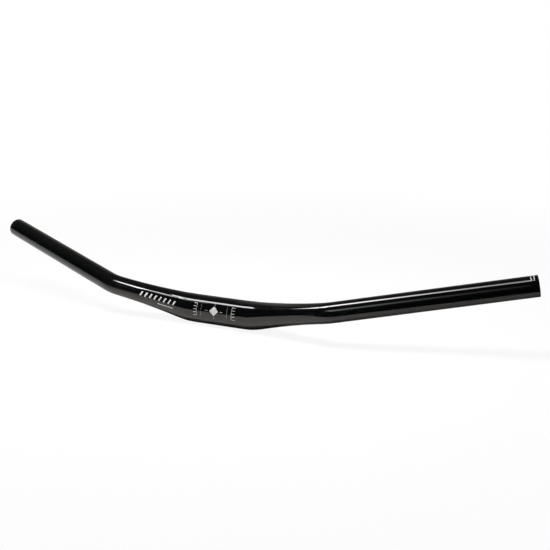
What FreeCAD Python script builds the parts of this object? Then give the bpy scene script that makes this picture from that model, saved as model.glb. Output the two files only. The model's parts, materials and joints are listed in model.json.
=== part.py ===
import FreeCAD, Part
import math
import os

# A bicycle handlebar: one hollow metal tube, thick in the middle where the stem clamps it.
# Each side leaves the clamp through an inner bend, rises forwards while it tapers,
# and turns back and up through an outer bend into the straight grip end.
# The origin is the middle of the clamp. +X runs along the clamp axis, +Y points back
# to the rider and +Z points up. Lengths are in millimetres, angles in degrees.

overall_width = 670.0         # tip to tip along X, at the tube's centre line
clamp_diameter = 31.8         # outside of the thick middle
clamp_wall = 2.6              # wall of the thick middle
clamp_length = 72.0           # stretch of full clamp diameter, along the tube
grip_diameter = 22.2          # outside of the grip ends and the outer bends
grip_wall = 2.0               # wall of the grip ends
inner_bend_offset = 40.5      # corner of the inner bend, from the middle along X
inner_bend_radius = 90.0      # at the tube's centre line
outer_bend_offset = 135.0     # corner of the outer bend, from the middle along X
outer_bend_radius = 36.0      # at the tube's centre line
rise = 18.8                   # corner of the outer bend above the clamp axis
forward_reach = 14.0          # corner of the outer bend in front of the clamp axis
backsweep = 18.6              # turn of the grip back to the rider, seen from above
upsweep = 10.6                # slope of the grip, seen from the front
tip_round = 0.6               # rounding of the outer and inner edge of each open end

shoulder_ease = 0.08          # softness of the taper's start, as a share of the taper
bend_section_gap = 2.8        # most room between the circles that carry the taper round the inner bend
arm_section_gap = 9.0         # most room between the circles that carry it along the straight arm
bore_overrun = 5.0            # how far the cutting core passes each open end
tip_round_share = 0.4         # most of the grip wall that one rounding may take
same_point = 0.001            # two points closer than this are the same

Vector = FreeCAD.Vector
up = Vector(0, 0, 1)


class Bend:
    # An arc tangent to the two straight runs that meet at a corner.
    def __init__(self, corner, way_in, way_out, radius):
        self.way_in = way_in
        self.turn = way_in.getAngle(way_out)
        self.tangent_length = radius * math.tan(self.turn / 2)
        self.length = radius * self.turn
        self.start = corner - way_in * self.tangent_length
        self.end = corner + way_out * self.tangent_length
        self.axis = way_in.cross(way_out).normalize()
        self.centre = self.start + self.axis.cross(way_in) * radius

    def at(self, distance):
        # Point and direction after a distance along the arc.
        angle = math.degrees(self.turn * distance / self.length)
        swing = FreeCAD.Rotation(self.axis, angle)
        return self.centre + swing.multVec(self.start - self.centre), swing.multVec(self.way_in)


def direction(start, end):
    return (end - start).normalize()


# The centre line of the +X side.
half_width = overall_width / 2
inner_corner = Vector(inner_bend_offset, 0, 0)
outer_corner = Vector(outer_bend_offset, -forward_reach, rise)
clamp_way = Vector(1, 0, 0)
arm_way = direction(inner_corner, outer_corner)
grip_slope = Vector(1, math.tan(math.radians(backsweep)), math.tan(math.radians(upsweep)))
tip = outer_corner + grip_slope * (half_width - outer_bend_offset)
grip_way = direction(outer_corner, tip)
inner_bend = Bend(inner_corner, clamp_way, arm_way, inner_bend_radius)
outer_bend = Bend(outer_corner, arm_way, grip_way, outer_bend_radius)

# Distances along the centre line, from the middle.
inner_bend_start = inner_bend.start.x
inner_bend_end = inner_bend_start + inner_bend.length
arm_length = (outer_bend.start - inner_bend.end).Length
taper_start = clamp_length / 2
taper_end = inner_bend_end + arm_length
straight_half = min(inner_bend_start, taper_start)


def centre_line(distance):
    # Point and direction at a distance from the middle, up to the outer bend.
    if distance <= inner_bend_start:
        return clamp_way * distance, clamp_way
    if distance <= inner_bend_end:
        return inner_bend.at(distance - inner_bend_start)
    return inner_bend.end + arm_way * (distance - inner_bend_end), arm_way


def tapered_radius(distance, clamp_radius, grip_radius):
    # Full clamp radius up to the taper, then a soft shoulder and a parabola down to the grip radius.
    share = max(0.0, (distance - taper_start) / (taper_end - taper_start))
    eased = math.hypot(share, shoulder_ease) - shoulder_ease
    eased_full = math.hypot(1.0, shoulder_ease) - shoulder_ease
    return grip_radius + (clamp_radius - grip_radius) * (1.0 - eased / eased_full) ** 2


def section(point, way, radius):
    # A circle across the tube, with its seam at the back.
    turn = FreeCAD.Rotation(up.cross(way), up, way, "ZYX")
    circle = Part.Circle(Vector(0, 0, 0), Vector(0, 0, 1), radius).toShape()
    circle.Placement = FreeCAD.Placement(point, turn)
    return Part.Wire([circle])


def shoulder(clamp_radius, grip_radius):
    # The tapered stretch, from the straight clamp to the outer bend.
    distances = [straight_half]
    for start, end, gap in (
        (straight_half, inner_bend_end, bend_section_gap),
        (inner_bend_end, taper_end, arm_section_gap),
    ):
        count = math.ceil((end - start) / gap)
        distances += [start + (end - start) * step / count for step in range(1, count + 1)]
    circles = []
    for distance in distances:
        point, way = centre_line(distance)
        circles.append(section(point, way, tapered_radius(distance, clamp_radius, grip_radius)))
    return Part.makeLoft(circles, True, False)


def rod(clamp_radius, grip_radius, extra_length):
    # The whole bent bar as a solid rod, longer than the tube by extra_length at each end.
    middle_start = Vector(-straight_half, 0, 0)
    middle = Part.makeCylinder(clamp_radius, 2 * straight_half, middle_start, clamp_way)
    bend_face = Part.Face(section(outer_bend.start, arm_way, grip_radius))
    bend = bend_face.revolve(outer_bend.centre, outer_bend.axis, math.degrees(outer_bend.turn))
    grip_length = (tip - outer_bend.end).Length + extra_length
    grip = Part.makeCylinder(grip_radius, grip_length, outer_bend.end, grip_way)
    side = [shoulder(clamp_radius, grip_radius), bend, grip]
    other_side = [piece.mirror(Vector(0, 0, 0), clamp_way) for piece in side]
    return middle.multiFuse(side + other_side)


def tip_edges(shape):
    # The outer and inner circle of both open ends.
    ends = [tip, Vector(-tip.x, tip.y, tip.z)]
    edges = []
    for edge in shape.Edges:
        if isinstance(edge.Curve, Part.Circle):
            if min((edge.Curve.Center - end).Length for end in ends) < same_point:
                edges.append(edge)
    return edges


def handlebar():
    clamp_radius = clamp_diameter / 2
    grip_radius = grip_diameter / 2
    outside = rod(clamp_radius, grip_radius, 0.0)
    core = rod(clamp_radius - clamp_wall, grip_radius - grip_wall, bore_overrun)
    tube = outside.cut(core)
    rounding = min(tip_round, tip_round_share * grip_wall)
    return tube.makeFillet(rounding, tip_edges(tube)).Solids[0]


bar = handlebar()
os.makedirs("parts", exist_ok=True)
bar.exportStep("parts/handlebar.step")
box = bar.optimalBoundingBox()
print("valid", bar.isValid(), "volume %.0f mm3" % bar.Volume, "faces", len(bar.Faces))
print("box %.2f x %.2f x %.2f mm" % (box.XLength, box.YLength, box.ZLength))
print("bends %.2f and %.2f degrees" % (math.degrees(inner_bend.turn), math.degrees(outer_bend.turn)))
print("straight clamp to %.2f, taper from %.2f to %.2f" % (straight_half, taper_start, taper_end))
print("grip from", outer_bend.end, "to", tip, "along", grip_way)
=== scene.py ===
import json
import math
import bpy
from mathutils import Matrix, Vector


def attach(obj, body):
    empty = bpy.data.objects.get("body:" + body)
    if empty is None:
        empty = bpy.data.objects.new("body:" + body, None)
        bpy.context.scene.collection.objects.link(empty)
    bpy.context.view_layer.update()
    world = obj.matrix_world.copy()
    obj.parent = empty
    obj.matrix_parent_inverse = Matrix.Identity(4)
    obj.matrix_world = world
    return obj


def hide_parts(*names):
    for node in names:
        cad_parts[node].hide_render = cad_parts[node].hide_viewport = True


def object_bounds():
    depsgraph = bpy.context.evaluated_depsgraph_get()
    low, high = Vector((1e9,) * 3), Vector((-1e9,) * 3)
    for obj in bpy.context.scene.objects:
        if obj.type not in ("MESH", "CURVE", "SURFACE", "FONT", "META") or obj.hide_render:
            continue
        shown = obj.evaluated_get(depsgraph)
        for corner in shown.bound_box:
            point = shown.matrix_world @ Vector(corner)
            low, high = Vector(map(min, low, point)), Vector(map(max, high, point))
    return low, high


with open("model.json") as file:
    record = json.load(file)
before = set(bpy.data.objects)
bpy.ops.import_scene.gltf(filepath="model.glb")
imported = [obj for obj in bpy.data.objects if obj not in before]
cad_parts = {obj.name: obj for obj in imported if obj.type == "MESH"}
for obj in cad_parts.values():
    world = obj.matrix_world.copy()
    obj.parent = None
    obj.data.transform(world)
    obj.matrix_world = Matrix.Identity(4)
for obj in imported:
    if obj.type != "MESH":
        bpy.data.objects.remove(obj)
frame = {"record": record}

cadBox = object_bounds()     # lowest and highest corner of the solid
scene = bpy.context.scene
mounts = {mount["name"]: mount for mount in frame["record"]["mounts"]}
print("frame loaded, solid box", [round(side, 4) for side in cadBox[1] - cadBox[0]])


# One socket of a node tree. Sums written with it add Math or Vector Math nodes.
class Wire:
    def __init__(self, tree, socket=None):
        self.tree = tree
        self.socket = socket

    # Any node: its type, its settings, which go first, and the values or links of its sockets.
    def node(self, kind, settings=None, sockets=None, out=0):
        made = self.tree.nodes.new(kind)
        for name, value in (settings or {}).items():
            setattr(made, name, value)
        for key, value in (sockets or {}).items():
            if isinstance(value, Wire):
                self.tree.links.new(value.socket, made.inputs[key])
            else:
                made.inputs[key].default_value = value
        return Wire(self.tree, made.outputs[out]) if made.outputs else None

    def also(self, out):        # another output of the same node
        return Wire(self.tree, self.socket.node.outputs[out])

    def sum(self, operation, *values):
        return self.node("ShaderNodeMath", {"operation": operation}, dict(enumerate(values)))

    def vector(self, operation, *values):
        return self.node("ShaderNodeVectorMath", {"operation": operation}, dict(enumerate(values)))

    def isVector(self):
        return self.socket.type == "VECTOR"

    def __add__(self, other):
        kind = self.vector if self.isVector() else self.sum
        return kind("ADD", self, other)

    def __sub__(self, other):
        kind = self.vector if self.isVector() else self.sum
        return kind("SUBTRACT", self, other)

    def __mul__(self, other):
        if self.isVector():
            return self.node("ShaderNodeVectorMath", {"operation": "SCALE"}, {0: self, "Scale": other})
        return self.sum("MULTIPLY", self, other)

    def __truediv__(self, other):
        return self.sum("DIVIDE", self, other)

    def __pow__(self, other):
        return self.sum("POWER", self, other)

    def __radd__(self, other):
        return self.sum("ADD", other, self)

    def __rsub__(self, other):
        return self.sum("SUBTRACT", other, self)

    def __rmul__(self, other):
        return self * other

    def __abs__(self):
        return self.sum("ABSOLUTE", self)

    def parts(self):            # x, y and z of a vector
        split = self.node("ShaderNodeSeparateXYZ", None, {0: self})
        return split, split.also(1), split.also(2)

    def ramp(self, low, high, lowValue=0.0, highValue=1.0):     # smooth step between two values
        ends = {"Value": self, "From Min": low, "From Max": high, "To Min": lowValue, "To Max": highValue}
        return self.node("ShaderNodeMapRange", {"interpolation_type": "SMOOTHSTEP"}, ends)

    def blend(self, first, second):     # two colours mixed by this value
        ends = {"Factor": self, 6: first, 7: second}
        return self.node("ShaderNodeMix", {"data_type": "RGBA"}, ends, out=2)

    def noise(self, scale, detail, roughness=0.5):      # cloudy noise at this place
        inputs = {"Vector": self, "Scale": scale, "Detail": detail, "Roughness": roughness}
        return self.node("ShaderNodeTexNoise", None, inputs)

    def bump(self, distance, strength=1.0):     # the normals of this height
        inputs = {"Strength": strength, "Distance": distance, "Height": self}
        return self.node("ShaderNodeBump", None, inputs)


def newMaterial(name):
    material = bpy.data.materials.new(name)
    material.use_nodes = True
    tree = material.node_tree
    tree.nodes.clear()
    return material, Wire(tree)


def finishMaterial(wire, shader):
    wire.node("ShaderNodeOutputMaterial", None, {"Surface": shader})


# A Geometry Nodes tree with named inputs, given as name: socket type.
def newTree(name, inputs):
    tree = bpy.data.node_groups.new(name, "GeometryNodeTree")
    tree.interface.new_socket("Geometry", in_out="INPUT", socket_type="NodeSocketGeometry")
    for label, kind in inputs.items():
        tree.interface.new_socket(label, in_out="INPUT", socket_type=kind)
    tree.interface.new_socket("Geometry", in_out="OUTPUT", socket_type="NodeSocketGeometry")
    start = tree.nodes.new("NodeGroupInput")
    return {socket.name: Wire(tree, socket) for socket in start.outputs if socket.name}


# Runs a tree on a start mesh and keeps the result as a plain mesh object.
def growPiece(name, startMesh, tree, values):
    start = bpy.data.objects.new(name + "Start", startMesh)
    scene.collection.objects.link(start)
    modifier = start.modifiers.new("grow", "NODES")
    modifier.node_group = tree
    for item in tree.interface.items_tree:
        if item.in_out == "INPUT" and item.name in values:
            modifier[item.identifier] = values[item.name]
    graph = bpy.context.evaluated_depsgraph_get()
    mesh = bpy.data.meshes.new_from_object(
        start.evaluated_get(graph), preserve_all_data_layers=True, depsgraph=graph)
    start.modifiers.remove(modifier)
    bpy.data.objects.remove(start)
    mesh.name = name
    if mesh.materials[0] is None:       # the tree leaves an empty first slot
        mesh.materials.pop(index=0)
    piece = bpy.data.objects.new(name, mesh)
    scene.collection.objects.link(piece)
    return piece


# A named attribute, read or stored inside a tree.
def readAttribute(wire, name, kind="FLOAT"):
    return wire.node("GeometryNodeInputNamedAttribute", {"data_type": kind}, {"Name": name})


def storeAttribute(mesh, name, value, kind, domain):
    stored = {"Geometry": mesh, "Name": name, "Value": value}
    return mesh.node("GeometryNodeStoreNamedAttribute", {"data_type": kind, "domain": domain}, stored)


# The bent tube. Lengths in metres, angles in degrees, distances run along the centre line.
bar = {
    "width": 0.670,             # tip to tip
    "clampLength": 0.072,       # stretch of full clamp thickness
    "innerCorner": 0.0405,      # corner of the inner bend, from the middle
    "innerRadius": 0.090,
    "outerCorner": 0.135,       # corner of the outer bend, from the middle
    "outerRadius": 0.036,
    "rise": 0.0188,
    "reach": 0.014,             # how far the outer bend stands in front of the clamp
    "backsweep": 18.6,
    "upsweep": 10.6,
    "clampWall": 0.0026,
    "tipRound": 0.0006,         # rounding of the open ends' edges
    "shoulderEase": 0.08,       # softness of the taper's start
    "sides": 128,               # faces around the tube
    "bendSteps": 48,            # points in each bend of the centre line
    "lipSteps": 5,              # rings in each rounded edge
    "mergeGap": 0.000001,       # points closer than this become one
    "ringGap": {"clamp": 0.006, "innerBend": 0.0012, "arm": 0.0022, "outerBend": 0.0009, "grip": 0.009},
}

clampRadius = mounts["stem_clamp"]["dims"]["r_mm"] / 1000
gripRadius = mounts["left_grip_seat"]["dims"]["r_mm"] / 1000
clampBore = clampRadius - bar["clampWall"]
gripBore = mounts["left_end_bore"]["dims"]["r_mm"] / 1000

innerCorner = Vector((bar["innerCorner"], 0, 0))
outerCorner = Vector((bar["outerCorner"], -bar["reach"], bar["rise"]))
gripSlope = Vector((1, math.tan(math.radians(bar["backsweep"])), math.tan(math.radians(bar["upsweep"]))))
tipPoint = outerCorner + gripSlope * (bar["width"] / 2 - bar["outerCorner"])
armWay = (outerCorner - innerCorner).normalized()
gripWay = gripSlope.normalized()

# Distances from the middle to the ends of each stretch.
innerTurn = Vector((1, 0, 0)).angle(armWay)
outerTurn = armWay.angle(gripWay)
innerReach = bar["innerRadius"] * math.tan(innerTurn / 2)
outerReach = bar["outerRadius"] * math.tan(outerTurn / 2)
innerStart = bar["innerCorner"] - innerReach
innerEnd = innerStart + bar["innerRadius"] * innerTurn
outerStart = innerEnd + (outerCorner - innerCorner).length - innerReach - outerReach
outerEnd = outerStart + bar["outerRadius"] * outerTurn
tipDistance = outerEnd + (tipPoint - outerCorner).length - outerReach
taperStart = bar["clampLength"] / 2
taperEnd = outerStart


# The six corners of the centre line, each with the radius of its bend.
def makePath():
    side = [(innerCorner, bar["innerRadius"]), (outerCorner, bar["outerRadius"]), (tipPoint, 0.0)]
    mirrored = [(Vector((-point.x, point.y, point.z)), radius) for point, radius in reversed(side)]
    corners = mirrored + side
    mesh = bpy.data.meshes.new("barPath")
    mesh.from_pydata([point for point, _ in corners], [(k, k + 1) for k in range(len(corners) - 1)], [])
    bends = mesh.attributes.new("bendRadius", "FLOAT", "POINT")
    for k, (_, radius) in enumerate(corners):
        bends.data[k].value = radius
    path = bpy.data.objects.new("barPath", mesh)
    scene.collection.objects.link(path)
    return path


# The bent centre line inside a tree, from the object that carries its corners.
def pathCurve(pathInput):
    info = pathInput.node("GeometryNodeObjectInfo", None, {"Object": pathInput}, out="Geometry")
    curve = info.node("GeometryNodeMeshToCurve", None, {"Mesh": info})
    fillet = {"Curve": curve, "Count": bar["bendSteps"], "Radius": readAttribute(info, "bendRadius")}
    return curve.node("GeometryNodeFilletCurve", {"mode": "POLY"}, fillet)


# A point beside the centre line: angle 0 faces forwards, a quarter turn faces up.
def placeOnBar(curve, along, angle, radius):
    length = curve.node("GeometryNodeCurveLength", None, {"Curve": curve})
    sampled = {"Curves": curve, "Length": along + length * 0.5}
    centre = curve.node("GeometryNodeSampleCurve", {"mode": "LENGTH"}, sampled, out="Position")
    way = centre.also("Tangent")
    back = way.vector("NORMALIZE", way.vector("CROSS_PRODUCT", (0, 0, 1), way))
    up = way.vector("CROSS_PRODUCT", way, back)
    outward = up * angle.sum("SINE", angle) - back * angle.sum("COSINE", angle)
    return centre + outward * radius


# Thick up to the taper's start, then a soft shoulder and a parabola down to the grip.
def taperedRadius(along, thick, thin):
    share = (abs(along) - taperStart) / (taperEnd - taperStart)
    share = share.node("ShaderNodeClamp", None, {"Value": share})
    ease = bar["shoulderEase"]
    eased = ((share ** 2 + ease ** 2) ** 0.5 - ease) / (math.hypot(1, ease) - ease)
    return (1 - eased) ** 2 * (thick - thin) + thin


# Ring places of one half, from the middle to where the tip's rounding starts.
def ringPlaces():
    ends = [0.0, innerStart, innerEnd, outerStart, outerEnd, tipDistance - bar["tipRound"]]
    places = [0.0]
    for start, end, gap in zip(ends, ends[1:], bar["ringGap"].values()):
        count = math.ceil((end - start) / gap)
        places += [start + (end - start) * step / count for step in range(1, count + 1)]
    return places


# The wall's long section as a closed chain of points: x is the distance along the bar,
# y is 1 on the outside and 0 in the bore, z is how far a rounded edge has cut into the wall.
def wallSection():
    half = ringPlaces()
    whole = [-place for place in reversed(half[1:])] + half
    lipRadius = bar["tipRound"]
    angles = [math.pi / 2 * step / bar["lipSteps"] for step in range(1, bar["lipSteps"] + 1)]
    lip = [(half[-1] + lipRadius * math.sin(angle), lipRadius * (1 - math.cos(angle))) for angle in angles]
    chain = [(place, 1, 0) for place in whole]
    chain += [(place, 1, cut) for place, cut in lip]
    chain += [(place, 0, cut) for place, cut in reversed(lip)]
    chain += [(place, 0, 0) for place in reversed(whole)]
    chain += [(-place, 0, cut) for place, cut in lip]
    chain += [(-place, 1, cut) for place, cut in reversed(lip)]
    chain.append(chain[0])
    mesh = bpy.data.meshes.new("wallSection")
    mesh.from_pydata(chain, [], [])
    return mesh


# A grid of section points by sides, wrapped round the centre line and closed both ways.
def tubeTree():
    inputs = {"Path": "NodeSocketObject", "Sides": "NodeSocketInt"}
    for label in ("Clamp Radius", "Grip Radius", "Clamp Bore", "Grip Bore"):
        inputs[label] = "NodeSocketFloat"
    inputs.update({"Paint": "NodeSocketMaterial", "Bare Metal": "NodeSocketMaterial"})
    given = newTree("tubeTree", inputs)
    section = given["Geometry"]
    sides = given["Sides"]
    rings = section.node("GeometryNodeAttributeDomainSize", None, {"Geometry": section})
    size = {"Vertices X": rings, "Vertices Y": sides + 1}
    grid = section.node("GeometryNodeMeshGrid", None, size)
    index = section.node("GeometryNodeInputIndex")
    ring = index.sum("FLOOR", (index + 0.5) / (sides + 1))
    turn = (index - ring * (sides + 1)) / sides
    place = section.node("GeometryNodeInputPosition")
    sampled = {"Geometry": section, "Value": place, "Index": ring}
    point = section.node("GeometryNodeSampleIndex", {"data_type": "FLOAT_VECTOR"}, sampled)
    along, outside, cut = point.parts()
    outer = taperedRadius(along, given["Clamp Radius"], given["Grip Radius"]) - cut
    inner = taperedRadius(along, given["Clamp Bore"], given["Grip Bore"]) + cut
    radius = outside * outer + (1 - outside) * inner
    angle = turn * (2 * math.pi)
    curve = pathCurve(given["Path"])
    spot = placeOnBar(curve, along, angle, radius)
    straight = along.node("ShaderNodeCombineXYZ", None, {
        0: along, 1: radius * angle.sum("COSINE", angle), 2: radius * angle.sum("SINE", angle)})
    tube = storeAttribute(grid, "straightTube", straight, "FLOAT_VECTOR", "POINT")
    tube = storeAttribute(tube, "boreSide", 1 - outside, "FLOAT", "FACE")
    tube = tube.node("GeometryNodeSetPosition", None, {"Geometry": tube, "Position": spot})
    tube = tube.node("GeometryNodeMergeByDistance", None, {"Geometry": tube, "Distance": bar["mergeGap"]})
    tube = tube.node("GeometryNodeSetShadeSmooth", None, {"Geometry": tube})
    tube = tube.node("GeometryNodeRealizeInstances", None, {"Geometry": tube})
    tube = tube.node("GeometryNodeSetMaterial", None, {"Geometry": tube, "Material": given["Paint"]})
    bore = readAttribute(tube, "boreSide")
    inBore = bore.sum("GREATER_THAN", bore, 0.75)       # faces with all four corners in the bore
    lined = {"Geometry": tube, "Selection": inBore, "Material": given["Bare Metal"]}
    tube = tube.node("GeometryNodeSetMaterial", None, lined)
    tube.node("NodeGroupOutput", None, {0: tube})
    return tube.tree


# The levels in a material's look are noise values, where an effect starts and where it is full.
paint = {
    "colour": (0.0014, 0.0015, 0.0017, 1),
    "hazeColour": (0.0026, 0.0027, 0.0029, 1),      # where the black is a touch lighter
    "hazeScale": 9.0,
    "hazeLevels": (0.35, 0.75),
    "roughness": 0.045,
    "wipedRoughness": 0.085,    # where handling has dulled the gloss a little
    "wipedScale": 38.0,
    "wipedLevels": (0.45, 0.75),
    "index": 1.5,
    "peelSize": 0.0016,         # waves of the sprayed coat
    "peelDepth": 0.0000022,
}


def glossBlack():
    material, wire = newMaterial("glossBlackPaint")
    place = wire.node("ShaderNodeAttribute", {"attribute_name": "straightTube"}, out="Vector")
    wiped = place.noise(paint["wipedScale"], detail=4.0, roughness=0.6).ramp(*paint["wipedLevels"])
    haze = place.noise(paint["hazeScale"], detail=2.0).ramp(*paint["hazeLevels"])
    peel = place.noise(1 / paint["peelSize"], detail=1.0)
    shader = wire.node("ShaderNodeBsdfPrincipled", None, {
        "Base Color": haze.blend(paint["colour"], paint["hazeColour"]),
        "Roughness": paint["roughness"] + wiped * (paint["wipedRoughness"] - paint["roughness"]),
        "IOR": paint["index"],
        "Normal": peel.bump(paint["peelDepth"])})
    finishMaterial(wire, shader)
    return material


bareMetal = {
    "colour": (0.50, 0.50, 0.51, 1),
    "roughness": 0.42,
    "streakColour": (0.34, 0.34, 0.35, 1),          # marks of the drawn tube, along it
    "streakScale": (6.0, 900.0, 900.0),
    "streakLevels": (0.35, 0.7),
    "streakRoughness": 0.15,    # most that a streak adds
    "streakDepth": 0.00002,
    "overspray": (0.012, 0.012, 0.013, 1),
    "oversprayDepth": 0.014,    # how far paint has drifted into each end
    "oversprayFull": 0.3,       # share of that depth that it covers fully
    "speckScale": 700.0,        # specks at its edge
}


def drawnMetal():
    material, wire = newMaterial("drawnAluminium")
    place = wire.node("ShaderNodeAttribute", {"attribute_name": "straightTube"}, out="Vector")
    along = place.parts()[0]
    stretched = wire.node("ShaderNodeMapping", None, {"Vector": place, "Scale": bareMetal["streakScale"]})
    streak = stretched.noise(1.0, detail=3.0)
    speck = place.noise(bareMetal["speckScale"], detail=2.0)
    reach = bareMetal["oversprayDepth"]
    depth = tipDistance - abs(along) + (speck - 0.5) * reach
    painted = 1 - depth.ramp(reach * bareMetal["oversprayFull"], reach)
    metal = streak.ramp(*bareMetal["streakLevels"]).blend(bareMetal["colour"], bareMetal["streakColour"])
    shader = wire.node("ShaderNodeBsdfPrincipled", None, {
        "Base Color": painted.blend(metal, bareMetal["overspray"]),
        "Metallic": 1 - painted,
        "Roughness": bareMetal["roughness"] + streak * bareMetal["streakRoughness"],
        "Normal": streak.bump(bareMetal["streakDepth"], strength=0.4)})
    finishMaterial(wire, shader)
    return material


barPath = makePath()
tube = growPiece("barTube", wallSection(), tubeTree(), {
    "Path": barPath, "Sides": bar["sides"],
    "Clamp Radius": clampRadius, "Grip Radius": gripRadius,
    "Clamp Bore": clampBore, "Grip Bore": gripBore,
    "Paint": glossBlack(), "Bare Metal": drawnMetal()})
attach(tube, "root")
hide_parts("handlebar")
print("tube made,", len(tube.data.polygons), "faces")


# Printed strokes lie flat in a plan of the surface, x along the bar and y round it, and are
# then wrapped. Each stroke is (along, round, length along, length round, tilt in degrees).
ink = {
    "thickness": 0.00005,
    "sunk": 0.00002,            # how far the ink reaches into the paint
    "colour": (0.43, 0.43, 0.42, 1),
    "thinColour": (0.31, 0.31, 0.305, 1),           # where the ink lies thin
    "thinLevels": (0.45, 0.68),
    "patchScale": 320.0,        # patches of thin ink
    "grainScale": 2600.0,       # fine grain, mixed into the patches by the share below
    "grainShare": 0.4,
    "grainDepth": 0.00001,
    "roughness": 0.36,
    "grainRoughness": 0.12,     # most that the grain adds
    "cells": (9, 17),           # mesh points of a stroke along and round the bar
}


def whiteInk():
    material, wire = newMaterial("whitePrint")
    place = wire.node("ShaderNodeTexCoord", out="Object")
    grain = place.noise(ink["grainScale"], detail=2.0)
    patch = place.noise(ink["patchScale"], detail=3.0)
    thin = (grain * ink["grainShare"] + patch * (1 - ink["grainShare"])).ramp(*ink["thinLevels"])
    shader = wire.node("ShaderNodeBsdfPrincipled", None, {
        "Base Color": thin.blend(ink["colour"], ink["thinColour"]),
        "Roughness": ink["roughness"] + grain * ink["grainRoughness"],
        "Normal": grain.bump(ink["grainDepth"], strength=0.5)})
    finishMaterial(wire, shader)
    return material


def strokePoints(name, strokes):
    mesh = bpy.data.meshes.new(name)
    mesh.from_pydata([(stroke[0], stroke[1], 0) for stroke in strokes], [], [])
    mesh.attributes.new("strokeSize", "FLOAT_VECTOR", "POINT")
    mesh.attributes.new("strokeTilt", "FLOAT", "POINT")
    sizes = mesh.attributes["strokeSize"].data      # looked up once both exist
    tilts = mesh.attributes["strokeTilt"].data
    for k, stroke in enumerate(strokes):
        sizes[k].vector = (stroke[2], stroke[3], ink["thickness"] + ink["sunk"])
        tilts[k].value = math.radians(stroke[4])
    return mesh


# Puts a thin block on each stroke's point, then wraps the blocks onto the bar's surface.
def printTree():
    given = newTree("printTree", {
        "Path": "NodeSocketObject", "Clamp Radius": "NodeSocketFloat", "Grip Radius": "NodeSocketFloat",
        "Centre Angle": "NodeSocketFloat", "Lift": "NodeSocketFloat", "Ink": "NodeSocketMaterial"})
    points = given["Geometry"]
    cellsAlong, cellsRound = ink["cells"]
    block = points.node("GeometryNodeMeshCube", None, {
        "Size": (1, 1, 1), "Vertices X": cellsAlong, "Vertices Y": cellsRound, "Vertices Z": 2})
    size = readAttribute(points, "strokeSize", "FLOAT_VECTOR")
    tilt = readAttribute(points, "strokeTilt")
    turn = points.node("ShaderNodeCombineXYZ", None, {2: tilt})
    turn = points.node("FunctionNodeEulerToRotation", None, {0: turn})
    copies = {"Points": points, "Instance": block, "Rotation": turn, "Scale": size}
    marks = points.node("GeometryNodeInstanceOnPoints", None, copies)
    marks = marks.node("GeometryNodeRealizeInstances", None, {"Geometry": marks})
    along, around, height = points.node("GeometryNodeInputPosition").parts()
    radius = taperedRadius(along, given["Clamp Radius"], given["Grip Radius"])
    angle = given["Centre Angle"] + around / radius
    spot = placeOnBar(pathCurve(given["Path"]), along, angle, radius + height + given["Lift"])
    marks = marks.node("GeometryNodeSetPosition", None, {"Geometry": marks, "Position": spot})
    marks = marks.node("GeometryNodeSetMaterial", None, {"Geometry": marks, "Material": given["Ink"]})
    marks.node("NodeGroupOutput", None, {0: marks})
    return marks.tree


# Centre marks on the clamp: a plain scale of ticks each side, fine lines and a centre cross.
clampScale = {
    "centreAngle": 13.5,        # degrees above straight forwards
    "middle": -0.0006,          # of the print, along the bar
    "tickCount": 5,
    "tickGap": 0.00338,
    "tickLength": 0.0042,
    "tickWidth": 0.00055,
    "spine": 0.0221,            # distance of each scale's spine from the middle
    "spineWidth": 0.00032,
    "lineAt": 0.0164,           # fine line each side
    "lineWidth": 0.00012,
    "lineLength": 0.0144,
    "hairAt": 0.0090,           # short hair lines of the cross
    "hairLength": 0.0042,
    "hairWidth": 0.00028,
    "hairRise": 0.0078,         # the same above and below the diamond
    "hairRiseLength": 0.00252,
    "diamond": 0.0078,          # edge of the centre diamond
}


def clampStrokes():
    look = clampScale
    centre = look["middle"]
    rise = look["tickGap"] * (look["tickCount"] - 1)
    tickAt = look["spine"] + look["tickLength"] / 2
    strokes = [(centre, 0, look["diamond"], look["diamond"], 45)]
    for side in (-1, 1):
        for k in range(look["tickCount"]):
            up = k * look["tickGap"] - rise / 2
            strokes.append((centre + side * tickAt, up, look["tickLength"], look["tickWidth"], 0))
        strokes.append((centre + side * look["spine"], 0, look["spineWidth"], rise + look["tickWidth"], 0))
        strokes.append((centre + side * look["lineAt"], 0, look["lineWidth"], look["lineLength"], 0))
        strokes.append((centre + side * look["hairAt"], 0, look["hairLength"], look["hairWidth"], 0))
        strokes.append((centre, side * look["hairRise"], look["hairWidth"], look["hairRiseLength"], 0))
    return strokes


# A row of slanted bars on the left arm, with a fine rule under it.
armBars = {
    "centreAngle": 16.0,
    "middle": -0.0760,
    "count": 8,
    "gap": 0.0060,
    "width": 0.0018,
    "length": 0.0056,
    "tilt": -24.0,
    "ruleDrop": 0.0062,
    "ruleLength": 0.020,
    "ruleWidth": 0.0009,
}


def armStrokes():
    look = armBars
    strokes = []
    for k in range(look["count"]):
        place = look["middle"] + (k - (look["count"] - 1) / 2) * look["gap"]
        strokes.append((place, 0, look["width"], look["length"], look["tilt"]))
    ruleAt = look["middle"] + (look["count"] - 1) / 2 * look["gap"] - look["ruleLength"] / 2
    strokes.append((ruleAt, -look["ruleDrop"], look["ruleLength"], look["ruleWidth"], 0))
    return strokes


# Two short cutting marks on top of the +X end.
tipMarks = {
    "centreAngle": 68.0,
    "places": (0.0074, 0.0043),         # distances from the tip
    "width": 0.0011,
    "length": 0.0076,
}


def tipStrokes():
    look = tipMarks
    return [(tipDistance - place, 0, look["width"], look["length"], 0) for place in look["places"]]


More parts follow.
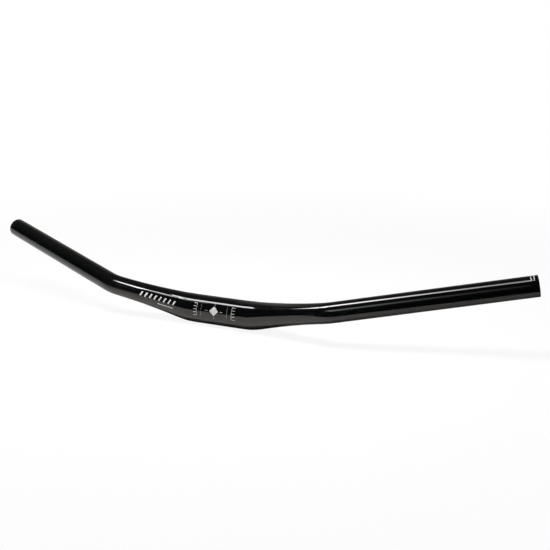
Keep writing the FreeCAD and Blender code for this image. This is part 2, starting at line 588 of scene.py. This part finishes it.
inkTree = printTree()
inkMaterial = whiteInk()
inkLift = (ink["thickness"] - ink["sunk"]) / 2      # from the paint to the middle of the ink
for name, strokes, look in (
    ("clampScale", clampStrokes(), clampScale),
    ("armBars", armStrokes(), armBars),
    ("tipMarks", tipStrokes(), tipMarks),
):
    piece = growPiece(name, strokePoints(name + "Points", strokes), inkTree, {
        "Path": barPath, "Clamp Radius": clampRadius, "Grip Radius": gripRadius,
        "Centre Angle": math.radians(look["centreAngle"]), "Lift": inkLift, "Ink": inkMaterial})
    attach(piece, "root")
    print(name, "printed,", len(strokes), "strokes")
bpy.data.objects.remove(barPath)


# The camera, from the bar's place in the photograph.
view = {
    "azimuth": 27.2785,
    "elevation": 13.6586,
    "middlePixel": (221.22, 311.33),    # where the bar's middle lies in the picture
    "distance": 1.1014,         # depth of the middle
    "focalPixels": 991.69,
    "picturePixels": 550,
    "sensor": 36.0,             # millimetres
    "nearest": 0.01,            # what is closer to the camera is not drawn
}


def addCamera():
    turn = math.radians(view["azimuth"])
    rise = math.radians(view["elevation"])
    back = Vector((math.sin(turn) * math.cos(rise), -math.cos(turn) * math.cos(rise), math.sin(rise)))
    right = Vector((math.cos(turn), math.sin(turn), 0))
    up = back.cross(right)
    scale = view["distance"] / view["focalPixels"]
    half = view["picturePixels"] / 2
    across = (view["middlePixel"][0] - half) * scale
    down = (view["middlePixel"][1] - half) * scale
    place = back * view["distance"] - right * across + up * down
    data = bpy.data.cameras.new("photoCamera")
    data.sensor_width = view["sensor"]
    data.lens = view["sensor"] * view["focalPixels"] / view["picturePixels"]
    data.clip_start = view["nearest"]
    camera = bpy.data.objects.new("photoCamera", data)
    camera.matrix_world = Matrix.Translation(place) @ Matrix((right, up, back)).transposed().to_4x4()
    scene.collection.objects.link(camera)
    scene.camera = camera


# A level rectangle of the stage, from its left front corner to its right back one.
def addSheet(name, low, high, height, material):
    (left, front), (right, back) = low, high
    corners = [(left, front), (right, front), (right, back), (left, back)]
    mesh = bpy.data.meshes.new(name)
    mesh.from_pydata([(x, y, height) for x, y in corners], [], [(0, 1, 2, 3)])
    mesh.materials.append(material)
    sheet = bpy.data.objects.new(name, mesh)
    scene.collection.objects.link(sheet)
    return sheet


# 1 for rays from the camera, also through glass, and 1 for rays from a reflection.
def rayKinds(wire):
    rays = wire.node("ShaderNodeLightPath")
    camera = rays.sum("MAXIMUM", rays, rays.also("Is Transmission Ray"))
    return camera, rays.also("Is Glossy Ray")


# The floor is almost white to the camera and keeps the bar's shadow. Reflections see it in a colour of its
# own, paler far to the left, with painted shade under the clamp, and dark on the stretches below.
# Pairs are where something starts and where it is full.
floorLook = {
    "size": 5.0,
    "colour": (0.80, 0.80, 0.79, 1),
    "grainScale": 900.0,
    "grainLevels": (0.3, 0.7),
    "grainTone": 0.985,         # darkest grain
    "whiteShare": 0.90,         # plain white that the camera sees near the bar
    "whiteRange": (0.40, 1.10),         # distances from the middle where it grows to all of it
    "glossColour": (0.68, 0.655, 0.63, 1),
    "glossShare": 0.72,         # most white in reflections
    "glossRange": (0.14, 0.34),         # distances from the middle where it comes in
    "glossSide": (-0.1, 0.1),           # places along the bar where it fades to the right
    "contactHalf": (0.060, 0.100),      # ends of the painted shade where the clamp rests, which only reflections see
    "contactFront": (-0.014, -0.008),
    "contactBack": (0.02, 0.05),        # where that shade fades out
    "contactShade": 0.28,       # what is left of the floor in it
}

# Stretches that reflections see dark: a corner, and how far its two edges are turned from +X.
darkFloor = {
    "rightGround": {"corner": (0.043, -0.105), "turns": (16.5, 227.0), "soft": 0.010, "depth": 1.0},
    "leftGround": {"corner": (-0.135, -0.128), "turns": (248.0, 183.5), "soft": 0.010, "depth": 0.9},
    # Painted shade behind the right grip, which only reflections see.
    "paintedShadeBehindGrip": {"corner": (0.120, -0.017), "turns": (111.0, 21.0), "soft": 0.035, "depth": 0.90},
}


# How much of the floor at a place lies between the two edges of a dark stretch, from 0 to 1.
def darkShare(place, look):
    share = look["depth"]
    for turn, side in zip(look["turns"], (-1, 1)):
        turned = place.node("ShaderNodeMapping", {"vector_type": "TEXTURE"}, {
            "Vector": place, "Location": (*look["corner"], 0), "Rotation": (0, 0, math.radians(turn))})
        across = turned.parts()[1] * side
        share = across.ramp(-look["soft"], look["soft"]) * share
    return share


def addFloor():
    material, wire = newMaterial("paleFloor")
    camera, glossy = rayKinds(wire)
    place = wire.node("ShaderNodeTexCoord", out="Object")
    along, back, _ = place.parts()
    # Painted shade under the clamp, which only reflections see: there the floor keeps contactShade of its
    # colour.
    under = 1 - abs(along).ramp(*floorLook["contactHalf"])
    under = under * back.ramp(*floorLook["contactFront"]) * (1 - back.ramp(*floorLook["contactBack"]))
    light = 1 - under * (1 - floorLook["contactShade"])
    for look in darkFloor.values():
        light = light * (1 - darkShare(place, look))
    shown = 1 - glossy * (1 - light)
    grain = place.noise(floorLook["grainScale"], detail=2.0)
    tone = grain.ramp(*floorLook["grainLevels"], floorLook["grainTone"], 1.0) * shown
    colour = tone.blend((0, 0, 0, 1), glossy.blend(floorLook["colour"], floorLook["glossColour"]))
    diffuse = wire.node("ShaderNodeBsdfDiffuse", None, {"Color": colour})
    white = wire.node("ShaderNodeEmission", None, {"Color": (1, 1, 1, 1), "Strength": 1.0})
    far = place.node("ShaderNodeVectorMath", {"operation": "LENGTH"}, {0: place}, out="Value")
    plain = far.ramp(*floorLook["whiteRange"], floorLook["whiteShare"], 1.0)
    plainGloss = far.ramp(*floorLook["glossRange"], 0.0, floorLook["glossShare"])
    plainGloss = plainGloss * (1 - along.ramp(*floorLook["glossSide"]))
    share = camera * plain + glossy * plainGloss * shown
    finishMaterial(wire, wire.node("ShaderNodeMixShader", None, {0: share, 1: diffuse, 2: white}))
    half = floorLook["size"] / 2
    addSheet("floor", (-half, -half), (half, half), cadBox[0].z, material)


# Around it all: white to the camera, dim to the gloss, an even light for the rest.
roomLook = {
    "ambient": 0.42,
    "glossBack": 0.055,         # brightness of the room in reflections, behind and above
    "glossFront": 0.010,        # and in front
    "glossLow": 0.22,           # added low down behind
    "backRange": (-0.35, 0.3),  # where front turns to back, as the y of a direction
    "highRange": (0.35, 0.75),  # where low turns to high, as its z
    "backTint": (1.0, 0.94, 0.88, 1),
    "frontTint": (0.75, 0.92, 1.0, 1),
}


def addRoom():
    world = bpy.data.worlds.new("room")
    world.use_nodes = True
    world.node_tree.nodes.clear()
    scene.world = world
    wire = Wire(world.node_tree)
    camera, glossy = rayKinds(wire)
    _, back, up = wire.node("ShaderNodeTexCoord", out="Generated").parts()
    behind = back.ramp(*roomLook["backRange"])
    dim = behind.ramp(0, 1, roomLook["glossFront"], roomLook["glossBack"])
    dim = dim + behind * (1 - up.ramp(*roomLook["highRange"])) * roomLook["glossLow"]
    strength = camera + (1 - camera) * (glossy * dim + (1 - glossy) * roomLook["ambient"])
    colour = glossy.blend((1, 1, 1, 1), behind.blend(roomLook["frontTint"], roomLook["backTint"]))
    light = wire.node("ShaderNodeBackground", None, {"Color": colour, "Strength": strength})
    wire.node("ShaderNodeOutputWorld", None, {"Surface": light})


# Area lamps, from end to end. Brightness is given at even steps between the ends. It is the
# lamp's radiance, but a spread in degrees narrows the light and makes it stronger straight ahead.
lamps = {
    "clampStrip": {"from": (-0.820, -0.135, 1.0), "to": (-0.350, -0.222, 1.0), "width": 0.22,
                   "brightness": (7.0, 14.5, 15.0, 14.0, 17.5, 25.0), "colour": (0.98, 0.99, 1.0),
                   "aim": (0, 0, 0)},
    "clampEnd": {"from": (-1.050, -0.165, 1.0), "to": (-0.920, -0.165, 1.0), "width": 0.20,
                 "brightness": (29.0, 15.0), "colour": (1.0, 0.97, 0.95), "aim": (0, 0, 0)},
    "leftStrip": {"from": (-0.205, -0.098, 0.20), "to": (-0.139, -0.113, 0.20), "width": 0.044,
                  "brightness": (0.6, 1.0, 1.5, 2.7, 4.4), "colour": (0.99, 0.99, 1.0),
                  "aim": (-0.105, -0.012, 0.02), "spread": 66.0},
    "leftEnd": {"from": (-0.140, -0.117, 0.20), "to": (-0.112, -0.069, 0.20), "width": 0.027,
                "brightness": (5.0, 5.6, 5.0), "colour": (0.99, 0.99, 1.0),
                "aim": (-0.085, -0.010, 0.02), "spread": 66.0},
    "rightStrip": {"from": (-0.165, -0.085, 0.40), "to": (0.330, -0.010, 0.40), "width": 0.092,
                   "brightness": (8.0, 13.0, 26.5, 21.5, 11.8, 7.0, 6.5), "colour": (1.0, 0.98, 0.97),
                   "aim": (0.22, 0.02, 0.03)},
    "bendStrip": {"from": (-0.0120, -0.038, 0.1505), "to": (0.0065, -0.038, 0.1700), "width": 0.050,
                  "brightness": (13.0, 14.0, 11.0, 4.0), "colour": (1.0, 0.98, 0.97),
                  "aim": (0.126, -0.021, 0.025)},
    "shoulderGlow": {"from": (-0.050, 0.070, 0.115), "to": (0.016, 0.070, 0.115), "width": 0.115,
                     "brightness": (0, 0.16, 0.26, 0.26, 0.13, 0), "colour": (1.0, 0.96, 0.92),
                     "aim": (0.075, 0, 0.02)},
    "frontWindow": {"from": (-0.460, -1.300, 0.81), "to": (0.780, -1.300, 0.81), "width": 0.38,
                    "brightness": (0.1, 1.0, 2.2, 3.1, 2.3, 1.0, 0.5, 0.1), "colour": (0.94, 0.97, 1.0),
                    "aim": (0.10, 0, 0)},
}


def addLamp(name, look):
    start, end, aim = Vector(look["from"]), Vector(look["to"]), Vector(look["aim"])
    length = (end - start).length
    middle = (start + end) / 2
    data = bpy.data.lights.new(name, "AREA")
    data.shape = "RECTANGLE"
    data.size = length
    data.size_y = look["width"]
    data.energy = math.pi * length * look["width"]      # radiance 1, times the strength below
    data.color = look["colour"]
    data.spread = math.radians(look.get("spread", 180.0))
    data.use_nodes = True
    data.node_tree.nodes.clear()
    wire = Wire(data.node_tree)
    share = wire.node("ShaderNodeNewGeometry", out="Parametric").parts()[0]
    levels = look["brightness"]
    steps = len(levels) - 1
    strength = levels[0]
    for k in range(steps):
        strength = strength + share.node("ShaderNodeMapRange", None, {
            "Value": share, "From Min": k / steps, "From Max": (k + 1) / steps,
            "To Min": 0.0, "To Max": levels[k + 1] - levels[k]})
    light = wire.node("ShaderNodeEmission", None, {"Strength": strength})
    wire.node("ShaderNodeOutputLight", None, {"Surface": light})
    lamp = bpy.data.objects.new(name, data)
    along = (end - start).normalized()
    facing = (middle - aim).normalized()        # a lamp shines along its own -Z
    across = facing.cross(along).normalized()
    facing = along.cross(across)
    lamp.matrix_world = Matrix.Translation(middle) @ Matrix((along, across, facing)).transposed().to_4x4()
    lamp.visible_camera = False
    scene.collection.objects.link(lamp)


# Dark cards that only reflections see. They keep each strip to its own stretch of the bar.
cards = {
    "bendCard": {"from": (-0.310, -0.074), "to": (-0.165, -0.010), "height": 0.20},
    "clampCard": {"from": (-0.0665, -0.050), "to": (-0.010, -0.0285), "height": 0.05},
    "armCard": {"from": (-0.165, -0.036), "to": (-0.0832, -0.016), "height": 0.10},
}
cardColour = (0.02, 0.02, 0.02, 1)


def darkCard():
    material, wire = newMaterial("darkCard")
    finishMaterial(wire, wire.node("ShaderNodeBsdfDiffuse", None, {"Color": cardColour}))
    return material


def addCard(name, look, material):
    card = addSheet(name, look["from"], look["to"], look["height"], material)
    card.visible_camera = False
    card.visible_diffuse = False
    card.visible_transmission = False
    card.visible_shadow = False


addCamera()
addFloor()
addRoom()
for name, look in lamps.items():
    addLamp(name, look)
cardMaterial = darkCard()
for name, look in cards.items():
    addCard(name, look, cardMaterial)
scene.view_settings.view_transform = "Standard"
print("camera, floor, room and", len(lamps), "lamps placed")
